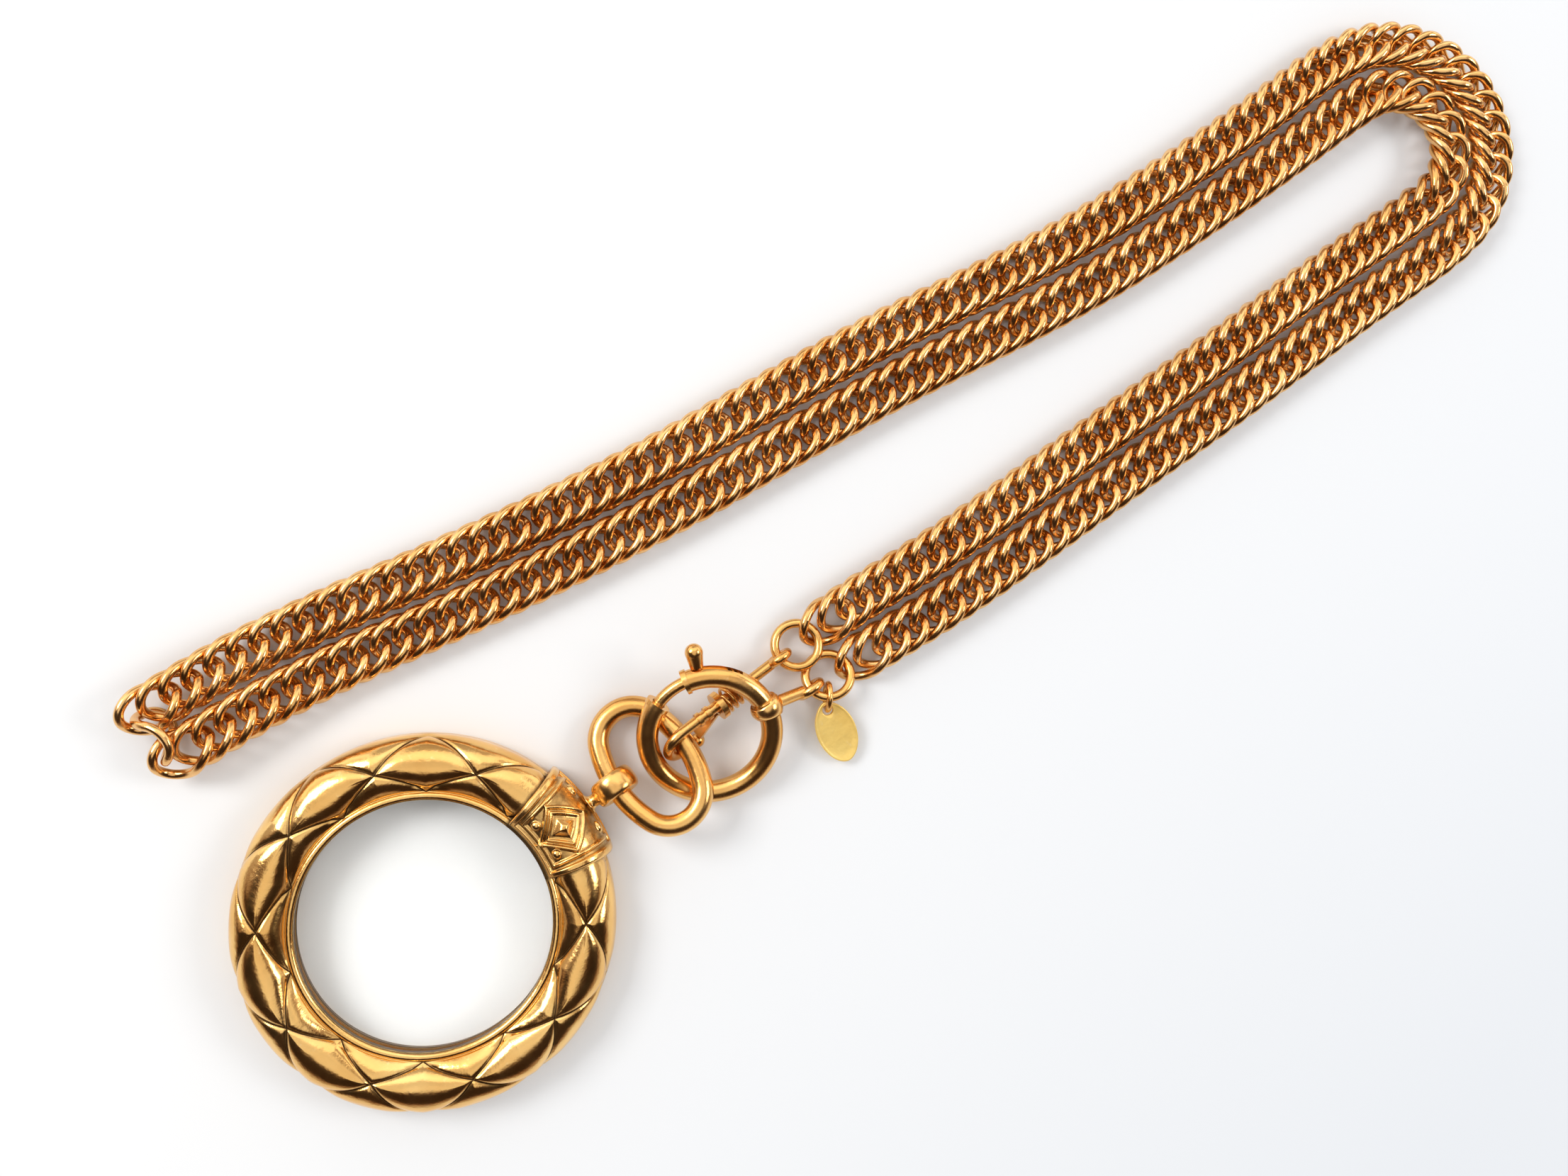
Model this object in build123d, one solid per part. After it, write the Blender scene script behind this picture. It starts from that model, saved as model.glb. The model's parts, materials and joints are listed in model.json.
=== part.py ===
# A gilt magnifying loupe worn on a long double curb chain.
# The loupe is a lens in a domed two part ring with a lozenge lattice and a saddle collar with a bail.
# An oval link joins the bail to a spring ring and a spring hook, one at each end of the chain.
# The origin is under the middle of the lens on the face that the loupe rests on.
# +X points from the lens to the clasp, +Z is up and every length is in millimetres.
from build123d import *
from math import asin, atan2, cos, degrees, pi, radians, sin, sqrt
import os

os.makedirs("parts", exist_ok=True)

# Shared clearances
solder_gap = 0.02
running_gap = 0.10
overrun = 3.0

# Loupe ring
loupe_radius = 27.5
loupe_height = 7.8
ring_band_width = 9.3
crown_radius = 4.5
lip_height = 6.0
lip_rise = 0.45
seam_height = 2.0
back_bevel = 1.2
lattice_count = 10
groove_width = 0.6
groove_depth = 0.35

# Lens and the split ring that holds it
lens_seat_width = 1.4
lens_edge = 1.7
lens_face_radius = 130.0
lens_recess_gap = 0.2
retaining_wire = 0.7
retaining_gap_angle = 14.0
lens_edge_sag_share = 0.2

# Saddle collar over the ring
collar_thickness = 1.3
collar_angle = 30.5
collar_inner_angle = 138.0
collar_foot = 0.9
collar_border = 0.95
collar_pocket_depth = 0.5
lozenge_length = 6.6
lozenge_width = 5.2
lozenge_height = 0.95
lozenge_top_share = 0.12

# Oval link and the bail that it hangs in
link_wire = 3.2
link_length = 19.6
link_width = 12.0
link_tilt = -13.1
link_centre_y = -0.7
link_low_gap = 0.2
bail_clearance = 0.22
bail_wall = 1.65
bail_width = 3.6
bail_round = 0.75
bail_reach = 4.6
bail_stalk_radius = 1.4

# Spring ring
ring_radius = 9.35
ring_tube = 3.3
ring_bore = 2.1
ring_offset_x = 3.82
ring_offset_y = -1.4
ring_height = 5.2
ring_slope_x = 0.19
ring_slope_y = 0.28
gap_start_angle = 79.0
gap_end_angle = 109.0
flare_wall = 0.25
flare_length = 0.7
bolt_wire = 1.9
bolt_nose_angle = 113.0
bolt_tail_angle = 40.0
trigger_angle = 65.0
trigger_travel = 32.0
trigger_stem_radius = 0.55
trigger_neck_radius = 1.0
trigger_ball_radius = 1.35
trigger_length = 5.3
slot_gap = 0.15
return_spring_wall = 0.35
return_spring_sweep = 95.0
spring_stop_sweep = 5.0

# Tab that joins the spring ring to its jump ring
tab_angle = -9.5
tab_band_wall = 0.5
tab_band_width = 2.4
tab_neck_radius = 0.95
tab_eye_wire = 1.5
tab_eye_hole = 2.0

# Spring hook
hook_wire = 1.7
hook_bend_gap = 0.3
hook_roll = 32.0
hook_shaft_length = 17.5
hook_tip_length = 2.4
hook_tip_ball_radius = 1.1
hook_bead_radius = 1.1
hook_bead_places = (3.4, 5.0)
hook_bead_length = 0.7
hook_eye_wire = 1.4
hook_eye_hole = 1.75
gate_width = 1.6
gate_thickness = 0.5
gate_root = 6.55
gate_travel = 20.0
gate_tip_gap = 0.06
gate_root_gap = 0.25
ferrule_start = 6.7
ferrule_length = 1.0
ferrule_radius = 2.2
winding_wire = 0.55
winding_pitch = 0.99
winding_turns = 4
winding_radius = 1.8
winding_quarters = 4

# Jump rings and tag
jump_wire = 1.4
upper_jump_radius = 3.4
lower_jump_radius = 3.5
upper_jump_rise = 0.263
upper_jump_slope_x = -0.045
upper_jump_slope_y = -0.178
lower_jump_place = (69.211, -5.849, 2.134)
lower_jump_slope_x = -0.132
lower_jump_slope_y = -0.398
tag_ring_wire = 0.9
tag_ring_radius = 2.0
tag_length = 10.2
tag_width = 6.2
tag_thickness = 0.6
tag_hole_radius = 0.8
tag_hole_inset = 1.35
tag_turn = -101.0
tag_pitch = 9.5
tag_belly_share = 0.45
tag_ring_bearing = 235.0

# Chain: every link is the same twisted oval and passes through the next two
chain_wire = 1.4
chain_half_length = 4.3
chain_half_width = 3.05
chain_twist_rise = 2.1
chain_pitch = 3.41
chain_lay_gap = 0.03
turn_centre = (195.2, 8.7)
inner_turn_radius = 9.7
outer_turn_radius = 17.55
lean_angle = 20.0
lean_yaw = -5.6
lean_release_links = 11
end_link_count = 2
run_link_count = 11
return_stretch = 36.0
fold_rise = 2.0
fold_rise_length = 24.0
fold_link_place = (-13.8, 44.28, 3.99)
fold_link_turn = (-5.5, 88.1, 61.5)

# Routes of the two halves of the chain, from the clasp round the turn to the fold.
# The points of each half turn lie on its circle, pushed out so that the curve meets the circle.
turn_push = 1.035
turn_steps = 6
inner_outward_run = [(73.888, 1.082), (80, 1.0), (90, 0.1), (105, -0.5), (125, -0.5), (145, -0.9),
                     (163, -0.9), (178, -0.85)]
inner_return_run = [(178, 18.3), (160, 18.5), (143, 19.1), (125, 21.3), (105, 24.5), (85, 26.5),
                    (66, 28.2), (47, 31.0), (30, 34.0), (14, 37.3), (2, 39.2), (-6, 39.9), (-12.6, 40.2)]
outer_outward_run = [(75.321, -6.565), (80.5, -7.0), (90, -7.9), (105, -8.35), (125, -8.4), (145, -8.85),
                     (163, -8.85), (178, -8.8)]
outer_return_run = [(178, 26.2), (161, 26.4), (144, 27.1), (126, 29.2), (106, 32.4), (86, 34.4),
                    (67, 36.05), (48, 38.8), (31, 41.8), (15, 45.05), (2.5, 47.0), (-6, 47.6),
                    (-12.6, 47.95)]
route_steps = 24
sample_count = 12

# Values that follow from the sizes above
lens_opening_radius = loupe_radius - ring_band_width
lens_radius = lens_opening_radius + lens_seat_width
crown_r = loupe_radius - crown_radius
crown_z = loupe_height - crown_radius
lip_outer_r = crown_r - sqrt(crown_radius ** 2 - (lip_height - crown_z) ** 2)
lens_sag = lens_face_radius - sqrt(lens_face_radius ** 2 - lens_radius ** 2)
retaining_top = seam_height + solder_gap + retaining_wire
lens_back_edge = retaining_top + lens_recess_gap
lens_front_edge = lens_back_edge + lens_edge
shoulder_height = lens_front_edge + lens_recess_gap + lens_sag * lens_edge_sag_share
collar_inner = crown_radius + solder_gap
collar_outer = collar_inner + collar_thickness
collar_side = crown_r + collar_outer
bail_x = collar_side + bail_reach
link_centre_x = bail_x + link_width / 2
link_slope = sin(radians(-link_tilt))
link_centre_z = link_wire / 2 + link_low_gap + link_slope * link_length / 2
link_right_x = link_centre_x + link_width / 2
bail_z = link_centre_z + link_centre_y * link_slope
ring_plane = Plane(origin=(link_right_x + ring_offset_x, ring_offset_y + link_centre_y, ring_height),
                   x_dir=(1, 0, ring_slope_x), z_dir=(-ring_slope_x, -ring_slope_y, 1))


def polar(centre, radius, angle):
    """Point of the loupe's section at an angle round a centre given as radius and height."""
    return Vector(centre[0] + radius * cos(radians(angle)), 0, centre[1] + radius * sin(radians(angle)))


def section(r, z):
    """Point of the loupe's section."""
    return Vector(r, 0, z)


def revolved(edges, angle=360.0, start=0.0):
    """Solid of revolution about Z of a closed run of section edges."""
    face = Face(Wire(edges))
    return Rot(0, 0, start) * revolve(face, axis=Axis.Z, revolution_arc=angle)


def lines(*points):
    """Straight edges from point to point."""
    return [Edge.make_line(a, b) for a, b in zip(points, points[1:])]


def arc(a, b, c):
    """Arc through three points."""
    return Edge.make_three_point_arc(a, b, c)


def biarc(start, start_direction, end, end_direction):
    """Two tangent arcs that leave one point and reach another in given directions."""
    reach = end - start
    first = start_direction.normalized()
    last = end_direction.normalized()
    square = 2 * (first.dot(last) - 1)
    linear = -2 * reach.dot(first + last)
    root = sqrt(linear ** 2 - 4 * square * reach.dot(reach))
    step = (-linear - root) / (2 * square)
    middle = (start + end + (first - last) * step) / 2
    direction = (reach - (first + last) * step).normalized()
    return [Edge.make_tangent_arc(start, first, middle), Edge.make_tangent_arc(middle, direction, end)]


def tube(edges, diameter):
    """Round wire along a run of tangent edges."""
    path = Wire(edges)
    start = Plane(origin=path @ 0, z_dir=path % 0)
    return sweep(start * Circle(diameter / 2), path=path)


def torus(centre, normal, radius, wire):
    """Closed ring of round wire."""
    return Solid.make_torus(radius, wire / 2, Plane(origin=centre, z_dir=normal))


def ball(centre, radius):
    """Sphere at a point."""
    return Pos(*centre) * Sphere(radius)


def rod(start, end, radius):
    """Round bar between two points."""
    return Solid.make_cylinder(radius, (end - start).length, Plane(origin=start, z_dir=end - start))


def keep(name, *solids):
    """Write one node's solids to its file."""
    flat = [solid for shape in solids for solid in shape.solids()]
    shape = flat[0] if len(flat) == 1 else Compound(flat)
    export_step(shape, os.path.join("parts", name + ".step"))


def crown_arc():
    """The domed top of the ring's section, from the lip to the outer side."""
    return arc(section(lip_outer_r, lip_height), section(crown_r, loupe_height),
               section(loupe_radius, crown_z))


def plan_point(radius, angle):
    """Point seen from above, at a radius and an angle round the lens."""
    return Vector(radius * cos(radians(angle)), radius * sin(radians(angle)))


def lattice_strips(angle, half):
    """Seen from above, the four groove strips that run out from one crossing of the lattice."""
    crossing = plan_point(crown_r, angle)
    strips = []
    for edge_radius in (lip_outer_r, loupe_radius):
        for edge_angle in (angle - half, angle + half):
            way = plan_point(edge_radius, edge_angle) - crossing
            middle = crossing + way / 2
            turn = degrees(atan2(way.Y, way.X))
            strip = Rectangle(way.length + groove_width, groove_width)
            strips.append(Pos(middle.X, middle.Y, crown_z) * Rot(0, 0, turn) * strip)
    return strips


def lattice_cutter(spread):
    """Grooves between two crossings of the lattice, cut into the crown."""
    strips = lattice_strips(0, spread / 2) + lattice_strips(spread, spread / 2)
    prism = extrude(strips[0] + strips[1:], amount=crown_radius + overrun)
    lip_angle = 180 - degrees(asin((lip_height - crown_z) / crown_radius))
    band = collar_sector(crown_radius - groove_depth, crown_radius + overrun, 0, lip_angle)
    return prism & revolved(band, 2 * spread, -spread / 2)


def front_bezel():
    """Front shell with the crown, the lip round the lens and the lozenge lattice."""
    seat = lens_radius + lens_recess_gap
    lip_top = section((lens_opening_radius + lip_outer_r) / 2, lip_height + lip_rise)
    edges = lines(section(seat, seam_height), section(seat, shoulder_height),
                  section(lens_opening_radius, shoulder_height), section(lens_opening_radius, lip_height))
    edges += [arc(section(lens_opening_radius, lip_height), lip_top, section(lip_outer_r, lip_height))]
    edges += [crown_arc()]
    edges += lines(section(loupe_radius, crown_z), section(loupe_radius, seam_height),
                   section(seat, seam_height))
    spread = 360.0 / lattice_count
    wedge = revolved(edges, spread) - lattice_cutter(spread)
    wedges = [Rot(0, 0, spread * index) * wedge for index in range(lattice_count)]
    return wedges[0] + wedges[1:]


def back_bezel():
    """Back shell whose flat face the loupe rests on."""
    inner = lens_opening_radius
    edges = lines(section(inner, seam_height), section(inner, back_bevel / 2),
                  section(inner + back_bevel / 2, 0), section(loupe_radius - back_bevel, 0))
    corner = section(loupe_radius - back_bevel * (1 - sin(radians(45))), back_bevel * (1 - cos(radians(45))))
    edges += [arc(section(loupe_radius - back_bevel, 0), corner, section(loupe_radius, back_bevel))]
    edges += lines(section(loupe_radius, back_bevel), section(loupe_radius, seam_height),
                   section(inner, seam_height))
    return revolved(edges)


def lens():
    """Lens with two bulging faces and a straight edge."""
    half = lens_radius / 2
    half_sag = lens_sag - (lens_face_radius - sqrt(lens_face_radius ** 2 - half ** 2))
    back = section(0, lens_back_edge - lens_sag)
    front = section(0, lens_front_edge + lens_sag)
    edges = [arc(back, section(half, lens_back_edge - half_sag), section(lens_radius, lens_back_edge))]
    edges += lines(section(lens_radius, lens_back_edge), section(lens_radius, lens_front_edge))
    edges += [arc(section(lens_radius, lens_front_edge), section(half, lens_front_edge + half_sag), front)]
    edges += lines(front, back)
    return revolved(edges)


def lens_retaining_ring():
    """Split wire ring behind the lens."""
    middle = lens_radius - retaining_wire / 2
    height = seam_height + solder_gap + retaining_wire / 2
    wire = Plane.XZ.offset(0) * Pos(middle, height) * Circle(retaining_wire / 2)
    return Rot(0, 0, 180 + retaining_gap_angle / 2) * revolve(wire, axis=Axis.Z,
                                                            revolution_arc=360 - retaining_gap_angle)


def collar_sector(inner, outer, low_angle, high_angle):
    """Part of a round band about the crown's centre."""
    centre = (crown_r, crown_z)
    angles = (low_angle, (low_angle + high_angle) / 2, high_angle)
    far = [polar(centre, outer, angle) for angle in angles]
    near = [polar(centre, inner, angle) for angle in reversed(angles)]
    edges = [arc(*far)] + lines(far[-1], near[0]) + [arc(*near)] + lines(near[-1], far[0])
    return edges


def collar_plate():
    """Saddle bent over the ring, with a raised border."""
    saddle = revolved(collar_sector(collar_inner, collar_outer, 0, collar_inner_angle), collar_angle,
                      -collar_angle / 2)
    inner_side = crown_r + collar_inner
    leg_edges = lines(section(inner_side, crown_z), section(collar_side, crown_z),
                      section(collar_side, collar_foot), section(inner_side, collar_foot),
                      section(inner_side, crown_z))
    leg = revolved(leg_edges, collar_angle, -collar_angle / 2)
    border_turn = degrees(collar_border / crown_r)
    border_arc = degrees(collar_border / collar_outer)
    pocket_edges = collar_sector(collar_outer - collar_pocket_depth, collar_outer + overrun, border_arc,
                                 collar_inner_angle - border_arc)
    pocket = revolved(pocket_edges, collar_angle - 2 * border_turn, -collar_angle / 2 + border_turn)
    return saddle + leg - pocket


def collar_ornament():
    """Raised lozenge in the collar's pocket."""
    floor = collar_outer - collar_pocket_depth
    middle = collar_inner_angle / 2
    normal = Vector(cos(radians(middle)), 0, sin(radians(middle)))
    seat = polar((crown_r, crown_z), floor, middle)
    base = Plane(origin=seat - normal * collar_pocket_depth, x_dir=(0, 1, 0), z_dir=normal)
    top = base.offset(collar_pocket_depth + lozenge_height)
    shapes = []
    for plane, share in ((base, 1.0), (top, lozenge_top_share)):
        across = lozenge_width * share / 2
        along = lozenge_length * share / 2
        corners = [(across, 0), (0, along), (-across, 0), (0, -along)]
        shapes.append(plane * make_face(Polyline(*corners, close=True)))
    stone = loft(shapes)
    bed_centre = (crown_r, crown_z)
    bed_edges = [arc(polar(bed_centre, floor + solder_gap, 0), polar(bed_centre, floor + solder_gap, 90),
                     polar(bed_centre, floor + solder_gap, 180))]
    bed_edges += lines(polar(bed_centre, floor + solder_gap, 180), polar(bed_centre, floor + solder_gap, 0))
    return stone - revolved(bed_edges, collar_angle, -collar_angle / 2)


def bail_direction():
    """Direction of the oval link's wire where it passes through the bail."""
    return Vector(0, cos(radians(link_tilt)), sin(radians(link_tilt)))


def bail_eye():
    """Thick eye and its stalk on the collar's outer side."""
    inner = link_wire / 2 + bail_clearance
    eye_plane = Plane(origin=(bail_x, 0, bail_z), z_dir=bail_direction())
    outer = inner + bail_wall
    eye = Cylinder(outer, bail_width)
    eye = fillet(eye.edges().filter_by(GeomType.CIRCLE), bail_round)
    hole = Cylinder(inner, bail_width + overrun)
    foot = Vector(collar_side - bail_wall, 0, crown_z)
    stalk = rod(foot, Vector(bail_x - inner, 0, bail_z), bail_stalk_radius)
    side = Solid.make_cylinder(collar_side + solder_gap, loupe_height + overrun, Plane.XY)
    return (eye_plane * eye) + (stalk - side) - (eye_plane * hole)


def oval_link():
    """Closed oval of thick wire, tipped so that it crosses the spring ring."""
    a, b = link_width / 2, link_length / 2
    corners = [Vector(a, 0), Vector(0, b), Vector(-a, 0), Vector(0, -b), Vector(a, 0)]
    ways = [Vector(0, 1), Vector(-1, 0), Vector(0, -1), Vector(1, 0), Vector(0, 1)]
    halves = []
    for first in (0, 2):
        edges = biarc(corners[first], ways[first], corners[first + 1], ways[first + 1])
        edges += biarc(corners[first + 1], ways[first + 1], corners[first + 2], ways[first + 2])
        halves.append(tube(edges, link_wire))
    place = Pos(link_centre_x, link_centre_y, link_centre_z) * Rot(link_tilt, 0, 0)
    return place * (halves[0] + halves[1])


def ring_arc(outer, inner, start, sweep_angle):
    """Bent tube of the spring ring, or a solid bar where the inner radius is zero."""
    face = Plane.XZ * Pos(ring_radius, 0) * Circle(outer)
    if inner:
        face = face - Plane.XZ * Pos(ring_radius, 0) * Circle(inner)
    return Rot(0, 0, start) * revolve(face, axis=Axis.Z, revolution_arc=sweep_angle)


def spring_ring_tube():
    """Hollow ring with a gap, flared ends and a slot for the trigger."""
    outer = ring_tube / 2
    bore = ring_bore / 2
    whole = 360 + gap_start_angle - gap_end_angle
    shell = ring_arc(outer, bore, gap_end_angle, whole)
    flare = degrees(flare_length / ring_radius)
    near = ring_arc(outer + flare_wall, bore, gap_end_angle, flare)
    far = ring_arc(outer + flare_wall, bore, gap_start_angle - flare, flare)
    slot_half = trigger_stem_radius + slot_gap
    slot_end = degrees(slot_half / ring_radius)
    slot_edges = lines(section(ring_radius, -slot_half), section(ring_radius + outer + overrun, -slot_half),
                       section(ring_radius + outer + overrun, slot_half), section(ring_radius, slot_half),
                       section(ring_radius, -slot_half))
    slot = revolved(slot_edges, trigger_travel + 2 * slot_end, trigger_angle - trigger_travel - slot_end)
    return ring_plane * (shell + near + far - slot)


def local_bolt():
    """Curved bolt in the ring's own plane."""
    return ring_arc(bolt_wire / 2, 0, bolt_tail_angle, bolt_nose_angle - bolt_tail_angle)


def trigger_knob():
    """Stem and ball headed knob that pulls the bolt back."""
    way = Vector(cos(radians(trigger_angle)), sin(radians(trigger_angle)), 0)
    seat = ring_radius + ring_tube / 2 + slot_gap
    stem = rod(way * ring_radius, way * (seat + slot_gap), trigger_stem_radius)
    tip = seat + trigger_length - trigger_ball_radius - ring_tube / 2
    neck_plane = Plane(origin=way * seat, z_dir=way)
    neck = Solid.make_cone(trigger_neck_radius, trigger_ball_radius, tip - seat, neck_plane)
    knob = neck + ball(way * tip, trigger_ball_radius) + stem
    return ring_plane * (knob - ring_arc(bolt_wire / 2 + solder_gap, 0, bolt_tail_angle,
                                         bolt_nose_angle - bolt_tail_angle))


def return_spring():
    """Space of the small coil behind the bolt."""
    outer = bolt_wire / 2
    start = bolt_tail_angle - return_spring_sweep
    return ring_plane * ring_arc(outer, outer - return_spring_wall, start, return_spring_sweep)


def spring_stop():
    """Plug that the coil pushes against."""
    start = bolt_tail_angle - return_spring_sweep - spring_stop_sweep
    return ring_plane * ring_arc(ring_bore / 2 - solder_gap, 0, start, spring_stop_sweep)


def in_ring(radius, angle):
    """Point of the ring's plane in the part's frame."""
    local = Vector(radius * cos(radians(angle)), radius * sin(radians(angle)), 0)
    return ring_plane.from_local_coords(local)


def lower_jump_normal():
    """Direction square to the lower jump ring."""
    return Vector(-lower_jump_slope_x, -lower_jump_slope_y, 1).normalized()


def tab_eye_centre():
    """Middle of the tab's eye, on the lower jump ring's wire."""
    across = Vector(1, 0, lower_jump_slope_x).normalized()
    return Vector(*lower_jump_place) - across * lower_jump_radius


def spring_ring_tab():
    """Band round the tube with a neck and an eye."""
    outer = ring_tube / 2
    half = degrees(tab_band_width / ring_radius) / 2
    band = ring_plane * ring_arc(outer + tab_band_wall, outer + solder_gap, tab_angle - half, 2 * half)
    eye_radius = (tab_eye_hole + tab_eye_wire) / 2
    centre = tab_eye_centre()
    root = in_ring(ring_radius + outer + tab_band_wall / 2, tab_angle)
    way = (centre - root).normalized()
    neck = rod(root, centre - way * eye_radius, tab_neck_radius)
    eye = torus(centre, (0, 1, 0), eye_radius, tab_eye_wire)
    return (neck - ring_plane * ring_arc(outer + solder_gap, 0, tab_angle - half, 2 * half)) + band + eye


def hook_frame():
    """Plane of the hook: its origin is the oval link's wire, X runs along the shaft."""
    side = link_centre_z
    bend = link_wire / 2 + hook_bend_gap + hook_wire / 2
    lean = radians(hook_roll)
    top = side + bend * cos(lean)
    fall = top - hook_eye_height()
    pitch = asin(fall / (hook_shaft_length + hook_eye_radius()))
    along = Vector(cos(pitch), 0, -sin(pitch))
    up = Vector(sin(pitch) * cos(lean), sin(lean), cos(pitch) * cos(lean))
    return Plane(origin=(link_right_x, link_centre_y, side), x_dir=along, z_dir=along.cross(up))


def hook_eye_radius():
    """Radius of the eye's wire line."""
    return (hook_eye_hole + hook_eye_wire) / 2


def hook_eye_height():
    """Height of the eye, level with the upper jump ring."""
    return chain_height(0) + upper_jump_rise


def hook_bend_radius():
    """Radius of the hook's bend, round the oval link's wire."""
    return link_wire / 2 + hook_bend_gap + hook_wire / 2


def hook_body():
    """Bend, shaft with two beads, tip ball and eye."""
    frame = hook_frame()
    bend = hook_bend_radius()
    path = lines(Vector(hook_tip_length, -bend), Vector(0, -bend))
    path += [arc(Vector(0, -bend), Vector(-bend, 0), Vector(0, bend))]
    path += lines(Vector(0, bend), Vector(hook_shaft_length, bend))
    body = tube(path, hook_wire)
    body = body + ball(Vector(hook_tip_length, -bend), hook_tip_ball_radius)
    for place in hook_bead_places:
        start = Vector(place - hook_bead_length / 2, bend)
        body = body + rod(start, start + Vector(hook_bead_length, 0), hook_bead_radius)
    eye_centre = frame.from_local_coords(Vector(hook_shaft_length + hook_eye_radius(), bend, 0))
    return (frame * body) + torus(eye_centre, (0, 1, 0), hook_eye_radius(), hook_eye_wire)


def gate_top():
    """Height in the hook's plane of the leaf spring's upper face, under the shaft."""
    return hook_bend_radius() - hook_wire / 2 - solder_gap


def barrel_centre():
    """Height in the hook's plane of the winding's axis, between the shaft and the leaf spring."""
    return (hook_bend_radius() + hook_wire / 2 + gate_top() - gate_thickness) / 2


def hook_gate():
    """Free part of the leaf spring, from the ferrule's mouth to the tip."""
    top = gate_top()
    bend = hook_bend_radius()
    root = Vector(gate_root - gate_root_gap, top - gate_thickness / 2)
    end = Vector(hook_tip_length + gate_thickness / 2,
                 -bend + hook_tip_ball_radius + gate_thickness / 2 + gate_tip_gap)
    way = (end - root).normalized()
    side = Vector(-way.Y, way.X) * (gate_thickness / 2)
    outline = Polyline(root + side, end + side, end - side, root - side, close=True)
    return hook_frame() * extrude(make_face(outline), amount=gate_width / 2, both=True)


def gate_tail():
    """Held end of the leaf spring, inside the ferrule and the winding."""
    length = ferrule_length + winding_pitch * winding_turns + ferrule_start - gate_root
    bar = Box(length, gate_thickness, gate_width)
    return hook_frame() * (Pos(gate_root + length / 2, gate_top() - gate_thickness / 2) * bar)


def hook_ferrule():
    """Collar that closes the winding's mouth."""
    frame = hook_frame()
    centre = Vector(ferrule_start, barrel_centre())
    disc = rod(centre, centre + Vector(ferrule_length, 0), ferrule_radius)
    shaft = rod(Vector(0, hook_bend_radius()), Vector(hook_shaft_length, hook_bend_radius()),
                hook_wire / 2 + solder_gap)
    strip = Pos(ferrule_start, gate_top() - gate_thickness / 2) * Box(
        2 * ferrule_length + overrun, gate_thickness + 2 * solder_gap, gate_width + 2 * solder_gap)
    return frame * (disc - shaft - strip)


def hook_winding():
    """Wire wound over the shaft and the leaf spring's held end."""
    start = ferrule_start + ferrule_length + winding_wire / 2 + running_gap
    quarter = winding_pitch / winding_quarters
    middle = barrel_centre()

    def point(index):
        angle = pi / 2 * index
        across = middle + winding_radius * cos(angle)
        return Vector(start + quarter * index, across, winding_radius * sin(angle))

    def way(index):
        angle = pi / 2 * index
        return Vector(winding_pitch / (2 * pi), -winding_radius * sin(angle), winding_radius * cos(angle))

    edges = []
    for index in range(winding_turns * winding_quarters):
        edges += biarc(point(index), way(index), point(index + 1), way(index + 1))
    print("winding: least gap between turns", round(winding_pitch - winding_wire, 3))
    return hook_frame() * tube(edges, winding_wire)


def upper_jump_centre():
    """Middle of the upper jump ring: its wire passes through the hook's eye."""
    eye = hook_frame().from_local_coords(Vector(hook_shaft_length + hook_eye_radius(), hook_bend_radius(), 0))
    return eye + Vector(1, 0, upper_jump_slope_x).normalized() * upper_jump_radius


def upper_jump_normal():
    """Direction square to the upper jump ring."""
    return Vector(-upper_jump_slope_x, -upper_jump_slope_y, 1).normalized()


def tag_ring_frame():
    """Upright plane of the tag's ring, where the lower jump ring's wire crosses it."""
    normal = lower_jump_normal()
    outward = plan_point(1, tag_ring_bearing)
    outward = (outward - normal * outward.dot(normal)).normalized()
    wire = Vector(*lower_jump_place) + outward * lower_jump_radius
    level = Vector(outward.X, outward.Y, 0).normalized()
    hang = tag_ring_radius - tag_ring_wire / 2 - jump_wire / 2 - running_gap
    lowest = tag_ring_radius + tag_ring_wire / 2 + chain_lay_gap
    drop = min(wire.Z - lowest, hang)
    shift = sqrt(hang ** 2 - drop ** 2)
    centre = Vector(wire.X, wire.Y, wire.Z - drop) + level * shift
    return centre, level


def tag_ring():
    """Small ring between the lower jump ring and the tag."""
    centre, level = tag_ring_frame()
    return torus(centre, level.cross(Vector(0, 0, 1)), tag_ring_radius, tag_ring_wire)


def hang_tag():
    """Thin pointed tag with bare faces."""
    centre, level = tag_ring_frame()
    hole = centre + level * tag_ring_radius
    half, wide = tag_length / 2, tag_width / 2
    top = Vector(-tag_hole_inset, 0)
    tip = Vector(tag_length - tag_hole_inset, 0)
    belly = tag_length * tag_belly_share - tag_hole_inset
    outline = [Edge.make_three_point_arc(top, Vector(belly, wide), tip)]
    outline += [Edge.make_three_point_arc(tip, Vector(belly, -wide), top)]
    plate = extrude(Face(Wire(outline)), amount=tag_thickness / 2, both=True)
    plate = plate - Cylinder(tag_hole_radius, tag_thickness + overrun)
    return Pos(*hole) * Rot(0, 0, tag_turn) * Rot(0, tag_pitch, 0) * plate


def link_point(t):
    """Point of a chain link's wire line at an angle round it."""
    return Vector(chain_half_length * cos(t), chain_half_width * sin(t), -chain_twist_rise * sin(2 * t))


def link_way(t):
    """Direction of a chain link's wire line."""
    return Vector(-chain_half_length * sin(t), chain_half_width * cos(t), -2 * chain_twist_rise * cos(2 * t))


def link_quarter(quarter):
    """Two tangent arcs of wire line round one quarter of a chain link."""
    a, b = pi / 2 * quarter, pi / 2 * (quarter + 1)
    return biarc(link_point(a), link_way(a), link_point(b), link_way(b))


def chain_link():
    """One twisted oval link of round wire at the origin."""
    halves = [tube(link_quarter(first) + link_quarter(first + 1), chain_wire) for first in (0, 2)]
    return halves[0] + halves[1]


def link_line():
    """Points along a chain link's wire line."""
    edges = [edge for quarter in range(4) for edge in link_quarter(quarter)]
    return [edge @ (step / sample_count) for edge in edges for step in range(sample_count)]


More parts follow.
